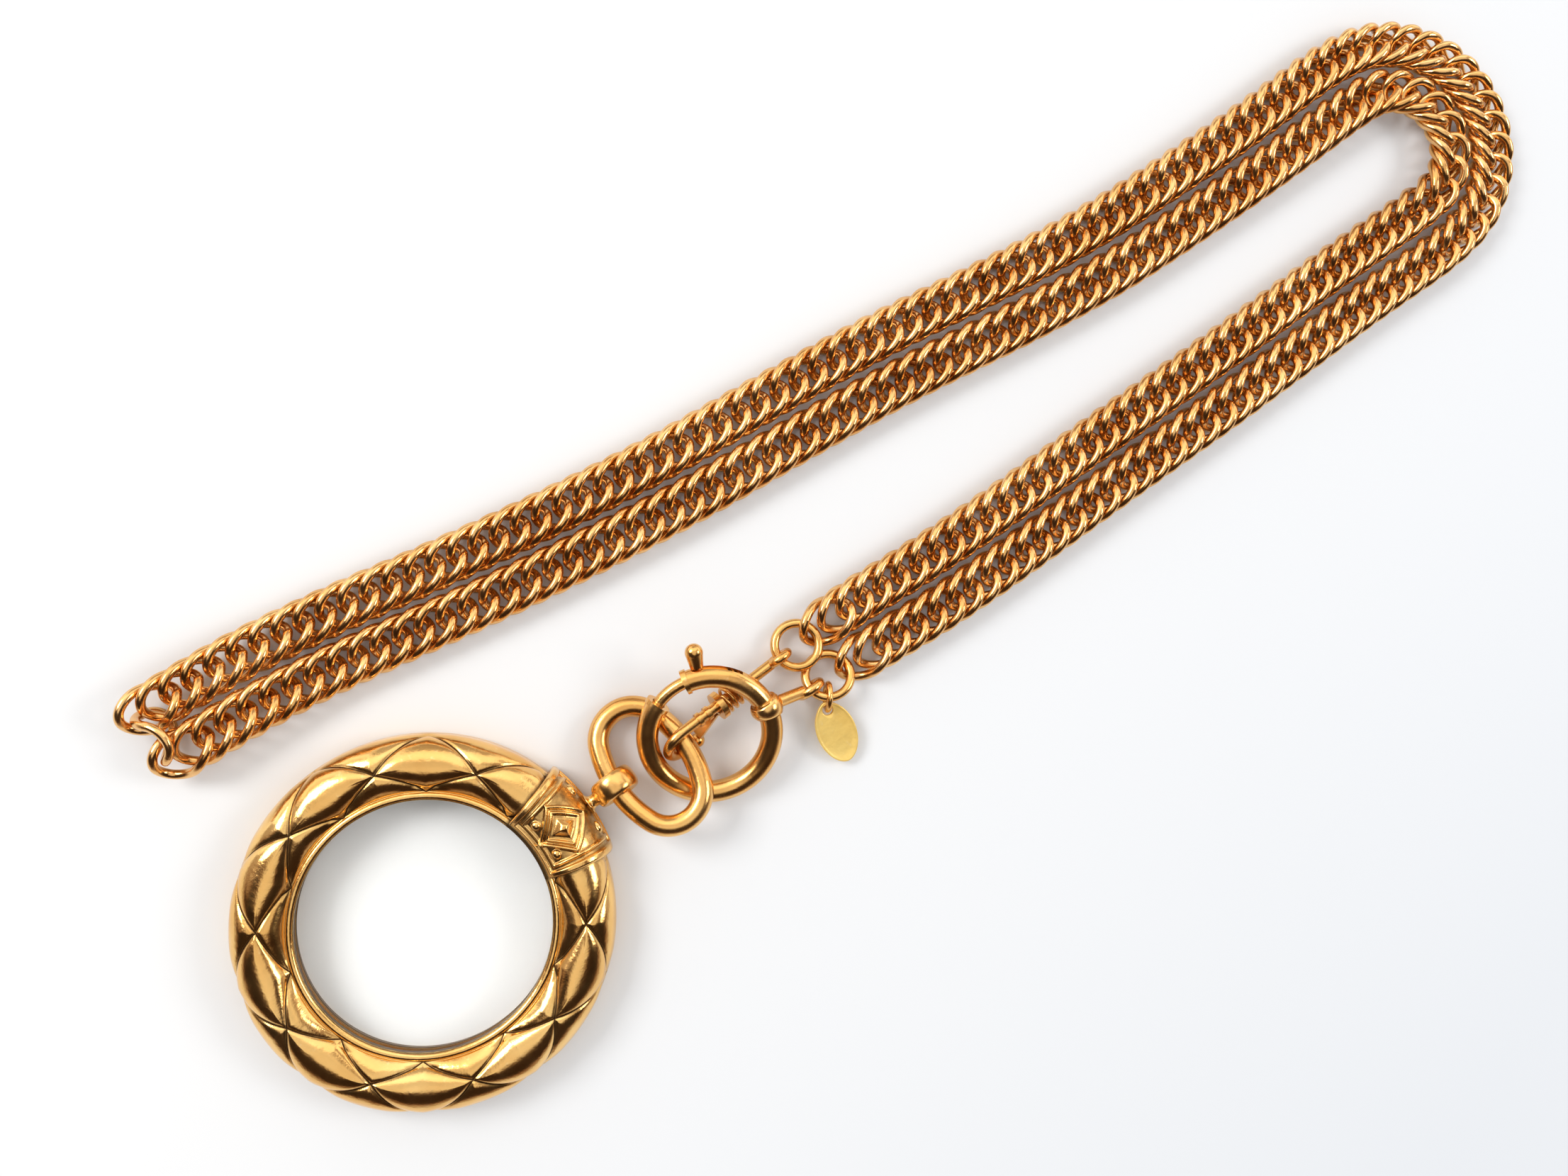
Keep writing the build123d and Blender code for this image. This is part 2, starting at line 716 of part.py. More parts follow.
def half_height(roll):
    """How far a link's wire line reaches above its middle when it leans."""
    return max(abs(point.Y * sin(roll) + point.Z * cos(roll)) for point in wire_line)


def chain_height(roll):
    """Height of a link's middle above the surface that the chain lies on."""
    return half_height(roll) + chain_wire / 2 + chain_lay_gap


def turn_points(radius):
    """Control points of a half turn, from the outward run to the return run."""
    points = []
    for step in range(turn_steps + 1):
        angle = pi * step / turn_steps
        reach = radius * turn_push
        points.append((turn_centre[0] + reach * sin(angle), turn_centre[1] - reach * cos(angle)))
    return points


def smooth_line(points):
    """Points of the smooth curve that a list of control points pulls."""
    spots = [Vector(*point) for point in points]
    last = len(spots) - 1
    line = []
    for index in range(1, last):
        start = spots[0] if index == 1 else (spots[index - 1] + spots[index]) / 2
        end = spots[last] if index == last - 1 else (spots[index] + spots[index + 1]) / 2
        for step in range(route_steps):
            s = step / route_steps
            line.append(start * (1 - s) ** 2 + spots[index] * (2 * s * (1 - s)) + end * s ** 2)
    line.append(spots[last])
    return line


def along_line(line, marks, distance):
    """Place and heading on a line at a distance from its start."""
    for index in range(len(marks) - 1):
        if marks[index + 1] >= distance:
            break
    span = marks[index + 1] - marks[index]
    share = (distance - marks[index]) / span
    a, b = line[index], line[index + 1]
    place = a + (b - a) * share
    return place, atan2(b.Y - a.Y, b.X - a.X)


def curve_share(line, marks, distance, pitch):
    """How tightly a line bends at a distance, as a share of the tightest turn."""
    before = along_line(line, marks, max(distance - pitch, 0))[1]
    after = along_line(line, marks, min(distance + pitch, marks[-1]))[1]
    bend = (after - before + pi) % (2 * pi) - pi
    return max(-1, min(1, bend / (2 * pitch) * inner_turn_radius))


def strand_links(outward, back, radius):
    """Place, heading, bend share and lean share of every link of one half of the chain."""
    line = smooth_line(outward + turn_points(radius) + back)
    marks = [0]
    for a, b in zip(line, line[1:]):
        marks.append(marks[-1] + (b - a).length)
    count = round(marks[-1] / chain_pitch)
    pitch = marks[-1] / count
    spots = [along_line(line, marks, pitch * index) for index in range(count + 1)]
    shares = [curve_share(line, marks, pitch * index, pitch) for index in range(count + 1)]
    links = []
    for index, (place, heading) in enumerate(spots):
        lean = 0
        for back_step in range(min(lean_release_links, index + 1)):
            eased = shares[index - back_step] * (1 - back_step / lean_release_links)
            lean = eased if abs(eased) > abs(lean) else lean
        from_end = marks[-1] - pitch * index
        links.append((place, heading, shares[index], lean, from_end))
    print("strand: links", len(links), "pitch", round(pitch, 3), "length", round(marks[-1], 1))
    return links


def fold_lift(from_end):
    """How far the links rise towards the fold, where one link stands on edge."""
    share = max(0, 1 - from_end / fold_rise_length)
    return fold_rise * share ** 2 * (3 - 2 * share)


def placed_link(link, spot):
    """A chain link at its place on the route."""
    place, heading, bend, lean, from_end = spot
    roll = radians(lean_angle) * lean
    height = chain_height(roll) + fold_lift(from_end)
    turn = degrees(heading) + lean_yaw * bend
    return Pos(place.X, place.Y, height) * Rot(0, 0, turn) * Rot(degrees(roll), 0, 0) * link


def write_chain():
    """Every link of the chain, in nodes that follow its strands."""
    link = chain_link()
    halves = (("inner", strand_links(inner_outward_run, inner_return_run, inner_turn_radius)),
              ("outer", strand_links(outer_outward_run, outer_return_run, outer_turn_radius)))
    turn_start = turn_centre[0]
    for name, spots in halves:
        groups = {}
        stretch = "first"
        for index, spot in enumerate(spots):
            place = spot[0]
            if place.X > turn_start:
                stretch = "turn"
            elif stretch == "turn":
                stretch = "return"
            if stretch == "first":
                run = 1 + (index - end_link_count) // run_link_count
                node = "end_links" if index < end_link_count else "run_" + str(run)
            elif stretch == "turn":
                node = "turn"
            else:
                node = "return_" + str(1 + int((turn_start - place.X) // return_stretch))
            groups.setdefault("chain_" + name + "_" + node, []).append(placed_link(link, spot))
        for node, links in groups.items():
            keep(node, *links)
    keep("chain_fold_link", Pos(*fold_link_place) * Rot(*fold_link_turn) * link)


wire_line = link_line()

keep("front_bezel", front_bezel())
keep("back_bezel", back_bezel())
keep("lens", lens())
keep("lens_retaining_ring", lens_retaining_ring())
keep("collar_plate", collar_plate())
keep("collar_ornament", collar_ornament())
keep("bail_eye", bail_eye())
keep("oval_link", oval_link())
keep("spring_ring_tube", spring_ring_tube())
keep("spring_ring_bolt", ring_plane * local_bolt())
keep("trigger_knob", trigger_knob())
keep("return_spring", return_spring())
keep("spring_stop", spring_stop())
keep("spring_ring_tab", spring_ring_tab())
keep("hook_body", hook_body())
keep("hook_ferrule", hook_ferrule())
keep("hook_winding", hook_winding())
keep("hook_gate", hook_gate())
keep("gate_tail", gate_tail())
keep("upper_jump_ring", torus(upper_jump_centre(), upper_jump_normal(), upper_jump_radius, jump_wire))
keep("lower_jump_ring", torus(Vector(*lower_jump_place), lower_jump_normal(), lower_jump_radius, jump_wire))
keep("tag_ring", tag_ring())
keep("hang_tag", hang_tag())
write_chain()
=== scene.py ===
import bmesh
import bpy
import json
from math import asin, cos, pi, radians, sin
from mathutils import Matrix, Vector


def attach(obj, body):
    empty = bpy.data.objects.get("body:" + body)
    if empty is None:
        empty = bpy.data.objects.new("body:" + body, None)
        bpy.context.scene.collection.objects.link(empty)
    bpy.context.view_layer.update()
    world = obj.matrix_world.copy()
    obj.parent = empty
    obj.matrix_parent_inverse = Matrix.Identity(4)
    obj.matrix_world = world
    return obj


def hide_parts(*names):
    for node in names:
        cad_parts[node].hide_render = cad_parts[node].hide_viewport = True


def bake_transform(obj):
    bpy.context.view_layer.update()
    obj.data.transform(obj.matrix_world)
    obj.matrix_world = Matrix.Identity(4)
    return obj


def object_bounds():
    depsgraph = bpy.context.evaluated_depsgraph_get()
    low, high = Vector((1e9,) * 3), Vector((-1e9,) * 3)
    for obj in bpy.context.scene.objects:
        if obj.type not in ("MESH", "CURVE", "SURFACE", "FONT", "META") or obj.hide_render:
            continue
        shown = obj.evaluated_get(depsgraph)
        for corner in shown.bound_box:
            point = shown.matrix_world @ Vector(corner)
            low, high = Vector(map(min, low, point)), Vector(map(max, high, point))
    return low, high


MM = 0.001

# Photograph and camera
PHOTO_WIDTH = 2212
PHOTO_FOCUS = 1900
SENSOR_WIDTH = 36
CAMERA_PLACE = Vector((46.0, 25.1, 205.9)) * MM
CAMERA_RIGHT = Vector((0.8052, -0.5749, 0.1459))
CAMERA_BACK = Vector((-0.1235, 0.078, 0.9893))
CAMERA_NEAREST = 0.01
CAMERA_FARTHEST = 20

# Table and room
TABLE_HALF = 3.0
TABLE_GAP = 0.02 * MM
TABLE_COLOUR = (0.86, 0.86, 0.86)
# Painted cool shade for the table's near side
TABLE_PAINTED_SHADE = (0.74, 0.76, 0.79)
AHEAD_X = 0.58
AHEAD_Y = 0.81
ROOM_LEVEL = 0.48
WINDOW_LEVEL = 1.15
CEILING_LEVEL = 0.42
DARKEST_LEVEL = 0.012
PLAIN_LEVEL = 0.74
WARM_LIGHT = (1.0, 0.42, 0.20)
PALE_LIGHT = (1.0, 0.97, 0.92)
WHITE = (1, 1, 1, 1)
LAMP_AIM = (0.08, 0.02, 0)

# Gold plate
# Dark brown for painted shade in hollows and for the tag's thin brown film
FILM_AND_SHADE_COLOUR = (0.055, 0.024, 0.010)
WORN_COLOUR = (1.0, 0.80, 0.46)

# Loupe ring
CROWN_RADIUS = 23.0 * MM
CROWN_HEIGHT = 3.3 * MM
CROWN_SECTION = 4.5 * MM
OPENING_RADIUS = 18.2 * MM
LIP_HEIGHT = 6.0 * MM
LIP_RISE = 0.45 * MM
SEAM_HEIGHT = 2.0 * MM
SHOULDER_HEIGHT = 4.9 * MM
SEAT_RADIUS = 19.8 * MM
CROWN_STEPS = 76
LIP_STEPS = 8
LATTICE_COUNT = 10
LIP_ANGLE = pi - asin((LIP_HEIGHT - CROWN_HEIGHT) / CROWN_SECTION)
LIP_OUTSIDE = CROWN_RADIUS + CROWN_SECTION * cos(LIP_ANGLE)

# Collar over the ring
COLLAR_INSIDE = 4.52 * MM
COLLAR_FLOOR = 5.32 * MM
COLLAR_OUTSIDE = 5.82 * MM
COLLAR_SPAN = radians(30.5)
COLLAR_REACH = radians(138)
COLLAR_FOOT = 0.9 * MM
BORDER_WIDTH = 1.0 * MM
BORDER_SLOPE = 0.15 * MM
BORDER_ROUND = 0.4 * MM
RIB_INSET = 1.85 * MM
RIB_HALF_WIDTH = 0.42 * MM
RIB_TOP = 0.05 * MM
RIB_HEIGHT = 0.34 * MM
STONE_SHIFT = 1.9 * MM
STONE_HALF_ALONG = 4.0 * MM
STONE_HALF_ACROSS = 4.9 * MM
# Each line of the lozenge has its place, its half width and its height
STONE_LINES = ((0.92, 0.13, 0.42 * MM), (0.66, 0.11, 0.30 * MM))
STONE_LINE_TOP = 0.02
STONE_FOOT = 0.46
STONE_TOP = 0.04
STONE_HEIGHT = 0.85 * MM
BEAD_COLUMN = 2.75 * MM
BEAD_ROWS = (-4.5 * MM, 5.1 * MM)
BEAD_RADIUS = 0.8 * MM
BEAD_HEIGHT = 0.55 * MM
COLLAR_SIDE = CROWN_RADIUS + COLLAR_OUTSIDE

# Bail
BAIL_PLACE = 33.42 * MM
BAIL_HEIGHT = 3.8625 * MM
BAIL_INSIDE = 1.82 * MM
BAIL_OUTSIDE = 3.47 * MM
BAIL_WIDTH = 3.6 * MM
BAIL_POWER = 0.8
STALK_RADIUS = 1.0 * MM
STALK_FLARE = 0.75
STALK_OVERLAP = 0.2 * MM
LINK_TILT = radians(-13.1)

# Spring ring, with the cuff of its tab and its return spring
CLASP_RADIUS = 9.35 * MM
CLASP_TUBE = 1.65 * MM
CUFF_PLACE = radians(-9.5)
CUFF_LENGTH = 2.5 * MM
CUFF_GAP = 0.05 * MM
CUFF_EDGE = 0.5 * MM
CUFF_SWELL = 0.35 * MM
CUFF_POWER = 8
COIL_RADIUS = 0.76 * MM
COIL_WIRE = 0.32 * MM
COIL_START = radians(-55)
COIL_SWEEP = radians(95)
COIL_TURNS = 17
COIL_TURN_STEPS = 24
COIL_SIDES = 10

# Tag, whose edge is given from outside in, as inset and share of the half thickness
TAG_LENGTH = 10.2 * MM
TAG_HALF_WIDTH = 3.1 * MM
TAG_HALF_THICK = 0.3 * MM
TAG_HOLE = 0.8 * MM
TAG_INSET = 1.35 * MM
TAG_TURN = radians(-101)
TAG_PITCH = radians(9.5)
TAG_HOLE_POWER = 1.3
TAG_TIP_POWER = 1.1
TAG_EDGE = ((0, 0.55), (0.03 * MM, 0.85), (0.1 * MM, 1), (0.26 * MM, 1), (0.36 * MM, 0.8))
TAG_FACE_SHARES = (0.2, 0.4, 0.6, 0.8, 0.93)
TAG_LIP = 0.1 * MM

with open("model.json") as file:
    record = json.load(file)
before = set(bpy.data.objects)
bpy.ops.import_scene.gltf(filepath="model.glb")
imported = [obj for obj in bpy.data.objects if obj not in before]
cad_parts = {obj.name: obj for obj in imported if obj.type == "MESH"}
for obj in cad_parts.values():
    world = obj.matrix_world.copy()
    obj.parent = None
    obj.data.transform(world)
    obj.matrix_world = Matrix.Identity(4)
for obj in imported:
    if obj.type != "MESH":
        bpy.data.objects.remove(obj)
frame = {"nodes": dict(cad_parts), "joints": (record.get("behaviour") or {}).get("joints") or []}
cad_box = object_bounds()
nodes = frame["nodes"]
joints = {joint["name"]: joint for joint in frame["joints"]}


class Reading:
    """A node's value that can be used in plain expressions."""

    def __init__(self, finish, socket):
        self.finish = finish
        self.socket = socket

    def maths(self, operation, other=None, other_first=False):
        values = [self] if other is None else [self, other]
        if other_first:
            values.reverse()
        return self.finish.node("ShaderNodeMath", {"operation": operation}, dict(enumerate(values)))

    def __add__(self, other):
        return self.maths("ADD", other)

    __radd__ = __add__

    def __mul__(self, other):
        return self.maths("MULTIPLY", other)

    __rmul__ = __mul__

    def __sub__(self, other):
        return self.maths("SUBTRACT", other)

    def __rsub__(self, other):
        return self.maths("SUBTRACT", other, True)

    def __truediv__(self, other):
        return self.maths("DIVIDE", other)

    def __pow__(self, other):
        return self.maths("POWER", other)

    def __abs__(self):
        return self.maths("ABSOLUTE")

    def clamped(self):
        self.socket.node.use_clamp = True
        return self


class Tree:
    """A node tree and the ways to add to it."""

    def __init__(self, tree):
        self.tree = tree
        self.tree.nodes.clear()

    def node(self, kind, settings=None, inputs=None, output=0):
        made = self.tree.nodes.new(kind)
        for key, value in (settings or {}).items():
            setattr(made, key, value)
        for key, value in (inputs or {}).items():
            if isinstance(value, Reading):
                self.tree.links.new(value.socket, made.inputs[key])
            else:
                made.inputs[key].default_value = value
        return Reading(self, made.outputs[output]) if made.outputs else made

    def spread(self, value, low, high):
        """How far a value has risen from low to high, from 0 to 1."""
        return ((value - low) * (1 / (high - low))).clamped()

    def mixed(self, share, first, second):
        made = self.node("ShaderNodeMix", {"data_type": "RGBA"}, {0: share}, output=2)
        for key, value in ((6, first), (7, second)):
            if isinstance(value, Reading):
                self.tree.links.new(value.socket, made.socket.node.inputs[key])
            else:
                made.socket.node.inputs[key].default_value = (*value, 1)
        return made

    def parts(self, vector):
        """A vector's three numbers."""
        split = self.node("ShaderNodeSeparateXYZ", inputs={0: vector}).socket.node
        return [Reading(self, output) for output in split.outputs]

    def lattice(self, place):
        """Distance from the nearest line of the lozenge lattice on the ring's crown."""
        x, y, z = self.parts(place)
        out = (x * x + y * y) ** 0.5 - CROWN_RADIUS
        up = z - CROWN_HEIGHT
        across = (out.maths("ARCTAN2", up)) * CROWN_SECTION
        inward = across.maths("LESS_THAN", 0.0)
        reach = CROWN_SECTION * pi / 2 + inward * ((LIP_ANGLE - pi / 2) - pi / 2) * CROWN_SECTION
        turn = y.maths("ARCTAN2", x) * (LATTICE_COUNT / (2 * pi)) + LATTICE_COUNT
        rise = 1 - abs(turn.maths("FRACT") * 2 - 1)
        slope = reach * (LATTICE_COUNT / (pi * CROWN_RADIUS))
        return abs(abs(across) - reach * rise) / ((slope * slope + 1) ** 0.5)


class Finish(Tree):
    """One material with its shader."""

    def __init__(self, name):
        self.material = bpy.data.materials.new(name)
        self.material.use_nodes = True
        super().__init__(self.material.node_tree)
        self.place = self.node("ShaderNodeTexCoord", output="Object")

    def noise(self, scale, detail=3.0, roughness=0.5):
        return self.node("ShaderNodeTexNoise", inputs={"Vector": self.place, "Scale": scale, "Detail": detail,
                                                       "Roughness": roughness})

    def axes(self):
        return self.parts(self.place)

    def bump(self, height, distance):
        return self.node("ShaderNodeBump", inputs={"Height": height, "Distance": distance})

    def close(self, **inputs):
        named = {key.replace("_", " "): value for key, value in inputs.items()}
        shader = self.node("ShaderNodeBsdfPrincipled", inputs=named)
        self.node("ShaderNodeOutputMaterial", inputs={"Surface": shader})
        return self.material


def dome_depth(finish):
    """Distance from the ring's section centre, which tells the crown from its grooves."""
    x, y, z = finish.axes()
    out = (x * x + y * y) ** 0.5 - CROWN_RADIUS
    up = z - CROWN_HEIGHT
    return (out * out + up * up) ** 0.5


def gilt(name, colour, shade, gloss=0.16, cast=0.03 * MM, film_and_shade=None, metallic=1.0):
    """Gold plate with uneven tone, fine cast texture, worn spots, and a mask of painted shade and brown film.
    """
    finish = Finish(name)
    cloud = finish.noise(110, 4)
    tone = finish.spread(cloud, 0.35, 0.68)
    skin = finish.mixed(tone, shade, colour)
    speck = finish.spread(finish.noise(900, 3, 0.6), 0.62, 0.78)
    skin = finish.mixed(speck * 0.35, skin, WORN_COLOUR)
    rough = gloss + finish.noise(420, 4) * 0.14
    # Mask of painted shade, and of thin brown film on the tag
    film_and_shade_share = film_and_shade(finish) if film_and_shade else None
    if film_and_shade_share is not None:
        skin = finish.mixed(film_and_shade_share, skin, FILM_AND_SHADE_COLOUR)
        rough = rough + film_and_shade_share * 0.3
    grain = finish.noise(260, 4, 0.55) * 1.6 + finish.noise(900, 3) * 0.55 + finish.noise(3000, 2) * 0.2
    return finish.close(Base_Color=skin, Metallic=metallic, Roughness=rough, Normal=finish.bump(grain, cast))


def groove_painted_shade(finish):
    """Painted shade in the lines of the lattice, thinly beside them, round the bore and at the collar."""
    depth = dome_depth(finish)
    crown = finish.spread(depth, CROWN_SECTION - 0.75 * MM, CROWN_SECTION - 0.6 * MM)
    crown = crown * finish.spread(depth, CROWN_SECTION + 0.12 * MM, CROWN_SECTION + 0.04 * MM)
    x, y, z = finish.axes()
    above = finish.spread(z, CROWN_HEIGHT - 0.6 * MM, CROWN_HEIGHT - 0.1 * MM)
    away = finish.lattice(finish.place)
    ragged = finish.noise(1500, 3)
    # Painted shade in the lattice lines, and fainter beside them
    line = finish.spread(away + ragged * 0.12 * MM, 0.24 * MM, 0.11 * MM)
    beside_line_shade = finish.spread(away + finish.noise(300, 4) * 0.9 * MM, 1.2 * MM, 0.3 * MM)
    line_shade = (line * 0.9 + beside_line_shade * 0.16).clamped() * crown * above
    radius = (x * x + y * y) ** 0.5
    beside = (abs(y.maths("ARCTAN2", x)) - COLLAR_SPAN / 2) * radius
    # Painted shade in the gap beside the collar and round the top of the bore
    collar_gap_shade = finish.spread(beside + ragged * 0.5 * MM, 0.85 * MM, 0.3 * MM) * above
    bore = finish.spread(radius, OPENING_RADIUS + 0.3 * MM, OPENING_RADIUS + 0.05 * MM)
    bore = bore * finish.spread(z + ragged * 0.5 * MM, LIP_HEIGHT + 0.35 * MM, LIP_HEIGHT - 0.05 * MM)
    return (line_shade + bore * 0.9 + collar_gap_shade * 0.85).clamped()


def pocket_painted_shade(finish):
    """Patchy painted shade in the low places of the collar's relief."""
    depth = dome_depth(finish)
    # Painted shade on the floor between the raised border, the rib and the lozenge
    low = finish.spread(depth, COLLAR_OUTSIDE - 0.2 * MM, COLLAR_FLOOR - 0.05 * MM)
    shade_patches = finish.spread(finish.noise(420, 4, 0.65), 0.36, 0.66)
    return low * (0.1 + shade_patches * 0.75)


def tag_patina(finish):
    """Thin brown film, uneven like handled plate."""
    return finish.spread(finish.noise(520, 4, 0.6), 0.55, 0.75) * 0.12


def link_painted_shade(finish):
    """Painted brown shade low on the chain, broken up by noise."""
    x, y, z = finish.axes()
    # Painted shade: darker towards the bottom of the chain
    low = finish.spread(z, 2.6 * MM, 0.4 * MM)
    return low * finish.spread(finish.noise(700, 3), 0.3, 0.65) * 0.45


def clear_lens():
    """Clear glass with faint smudges that lets the light through to the table."""
    finish = Finish("lens_glass")
    smudge = finish.spread(finish.noise(90, 5), 0.5, 0.75)
    glass = finish.node("ShaderNodeBsdfPrincipled", inputs={
        "Base Color": (0.985, 0.995, 0.99, 1), "Roughness": smudge * 0.03, "IOR": 1.5,
        "Transmission Weight": 1.0})
    open_air = finish.node("ShaderNodeBsdfTransparent")
    shadow = finish.node("ShaderNodeLightPath", output="Is Shadow Ray")
    mixed = finish.node("ShaderNodeMixShader", inputs={0: shadow * 0.97, 1: glass, 2: open_air})
    finish.node("ShaderNodeOutputMaterial", inputs={"Surface": mixed})
    return finish.material


def drawn_wire(name, colour):
    """Springy drawn metal with lines along its length."""
    finish = Finish(name)
    lines = finish.noise(1900, 2)
    tone = finish.spread(finish.noise(240, 3), 0.35, 0.65)
    skin = finish.mixed(tone, tuple(0.72 * part for part in colour), colour)
    return finish.close(Base_Color=skin, Metallic=1.0, Roughness=0.24 + lines * 0.12,
                        Normal=finish.bump(lines, 0.02 * MM))


def pale_ground():
    """White table with painted cool shade towards the near side."""
    finish = Finish("pale_ground")
    x, y, z = finish.axes()
    # Painted shade: the table turns cooler and darker towards the near side
    near = finish.spread(y * -1 + x * 0.35, -0.02, 0.17)
    skin = finish.mixed(near, TABLE_COLOUR, TABLE_PAINTED_SHADE)
    return finish.close(Base_Color=skin, Roughness=0.6, Specular_IOR_Level=0.3)


class Shape(Tree):
    """Geometry Nodes tree with named sizes, made into a plain mesh."""

    def __init__(self, name, sizes):
        self.name = name
        group = bpy.data.node_groups.new(name, "GeometryNodeTree")
        super().__init__(group)
        self.sizes = sizes
        group.interface.new_socket("Geometry", in_out="INPUT", socket_type="NodeSocketGeometry")
        self.keys = {}
        for key, value in sizes.items():
            kind = "NodeSocketInt" if isinstance(value, int) else "NodeSocketFloat"
            made = group.interface.new_socket(key, in_out="INPUT", socket_type=kind)
            made.default_value = value
            self.keys[key] = made.identifier
        group.interface.new_socket("Geometry", in_out="OUTPUT", socket_type="NodeSocketGeometry")
        self.entry = group.nodes.new("NodeGroupInput")

    def size(self, key):
        return Reading(self, self.entry.outputs[key])

    def piece(self, geometry, material, base):
        """Run the tree on a base mesh and keep the result as a plain object."""
        real = self.node("GeometryNodeRealizeInstances", inputs={0: geometry})
        dressed = self.node("GeometryNodeSetMaterial", inputs={0: real})
        dressed.socket.node.inputs["Material"].default_value = material
        self.node("NodeGroupOutput", inputs={0: dressed})
        maker = bpy.data.objects.new(self.name + "_maker", base)
        bpy.context.scene.collection.objects.link(maker)
        modifier = maker.modifiers.new("shape", "NODES")
        modifier.node_group = self.tree
        for key, value in self.sizes.items():
            modifier[self.keys[key]] = value
        seen = maker.evaluated_get(bpy.context.evaluated_depsgraph_get())
        mesh = bpy.data.meshes.new_from_object(seen)
        bpy.data.objects.remove(maker)
        return keep_piece(self.name, mesh, material)


def keep_piece(name, mesh, material):
    """A finished mesh as a smooth piece at the origin."""
    mesh.name = name
    mesh.materials.clear()
    mesh.materials.append(material)
    mesh.shade_smooth()
    made = bpy.data.objects.new(name, mesh)
    bpy.context.scene.collection.objects.link(made)
    return made


def outward_faces(mesh):
    """Turns every face of a closed mesh outwards."""
    build = bmesh.new()
    build.from_mesh(mesh)
    bmesh.ops.recalc_face_normals(build, faces=build.faces)
    build.to_mesh(mesh)
    build.free()


def ring_faces(rings, sides):
    """Faces that join each ring of points to the next, and the last one to the first."""
    faces = []
    for ring in range(rings):
        step = (ring + 1) % rings * sides - ring * sides
        for side in range(sides):
            near, far = ring * sides + side, ring * sides + (side + 1) % sides
            faces.append((near, far, far + step, near + step))
    return faces


def closed_piece(name, points, faces, material, place=None):
    """A closed mesh with its faces outwards, put in its place."""
    mesh = bpy.data.meshes.new(name)
    mesh.from_pydata(points, [], faces)
    outward_faces(mesh)
    if place is not None:
        mesh.transform(place)
    return keep_piece(name, mesh, material)


def bow(centre, radius, start, end, count):
    """Points of an arc in a section, from one angle to another."""
    turns = [start + (end - start) * step / count for step in range(count + 1)]
    return [(centre[0] + radius * cos(turn), centre[1] + radius * sin(turn)) for turn in turns]


def bezel_section():
    """Closed outline of the front bezel's section, as distance out from the crown and height."""
    crown = bow((0, CROWN_HEIGHT), CROWN_SECTION, 0, LIP_ANGLE, CROWN_STEPS)
    lip_half = (LIP_OUTSIDE - OPENING_RADIUS) / 2
    lip_bend = (lip_half ** 2 + LIP_RISE ** 2) / (2 * LIP_RISE)
    lip_centre = ((LIP_OUTSIDE + OPENING_RADIUS) / 2 - CROWN_RADIUS, LIP_HEIGHT + LIP_RISE - lip_bend)
    lean = asin(lip_half / lip_bend)
    lip = bow(lip_centre, lip_bend, pi / 2 - lean, pi / 2 + lean, LIP_STEPS)
    bore = OPENING_RADIUS - CROWN_RADIUS
    seat = SEAT_RADIUS - CROWN_RADIUS
    foot = [(bore, SHOULDER_HEIGHT), (seat, SHOULDER_HEIGHT), (seat, SEAM_HEIGHT),
            (CROWN_SECTION, SEAM_HEIGHT), (CROWN_SECTION, (SEAM_HEIGHT + CROWN_HEIGHT) / 2)]
    return crown + lip[1:] + foot


def lattice_crown(material):
    """Front bezel as one turned section whose crown swells between the lines of the lattice."""
    outline = bezel_section()
    count = len(outline)
    base = bpy.data.meshes.new("bezel_section")
    base.from_pydata([(out, -up, 0) for out, up in reversed(outline)],
                     [(n, (n + 1) % count) for n in range(count)], [])
    shape = Shape("lattice_crown", {"Ring radius": CROWN_RADIUS, "Crown height": CROWN_HEIGHT,
                                    "Crown section": CROWN_SECTION, "Steps around": 720,
                                    "Swell depth": 0.40 * MM, "Swell width": 2.4 * MM,
                                    "Line depth": 0.16 * MM, "Line width": 0.24 * MM})
    section = shape.node("GeometryNodeMeshToCurve", inputs={0: Reading(shape, shape.entry.outputs[0])})
    circle = shape.node("GeometryNodeCurvePrimitiveCircle", inputs={
        "Resolution": shape.size("Steps around"), "Radius": shape.size("Ring radius")})
    level = shape.node("GeometryNodeSetCurveNormal", {"mode": "Z_UP"}, {0: circle})
    ring = shape.node("GeometryNodeCurveToMesh", inputs={0: level, 1: section})
    place = shape.node("GeometryNodeInputPosition")
    x, y, z = shape.parts(place)
    radius = (x * x + y * y) ** 0.5
    out = radius - shape.size("Ring radius")
    up = z - shape.size("Crown height")
    depth = (out * out + up * up) ** 0.5
    away = shape.lattice(place)
    near = 1 - (away / shape.size("Swell width")).clamped()
    narrow = away / shape.size("Line width")
    line = (narrow * narrow * -1).maths("EXPONENT")
    cut = near * near * shape.size("Swell depth") + line * shape.size("Line depth")
    on_crown = shape.spread(depth / shape.size("Crown section"), 0.975, 0.985)
    cut = cut * on_crown * shape.spread(z, SEAM_HEIGHT + 0.4 * MM, CROWN_HEIGHT)
    cut = cut * shape.spread(radius, LIP_OUTSIDE, LIP_OUTSIDE + 0.6 * MM)
    flat = out / depth / radius * cut * -1
    moved = shape.node("ShaderNodeCombineXYZ", inputs={0: x * flat, 1: y * flat, 2: up / depth * cut * -1})
    swollen = shape.node("GeometryNodeSetPosition", inputs={"Geometry": ring, "Offset": moved})
    return shape.piece(swollen, material, base)


def smooth(value, low, high):
    """How far a number has risen from low to high, with soft ends."""
    share = min(1.0, max(0.0, (value - low) / (high - low)))
    return share * share * (3 - 2 * share)


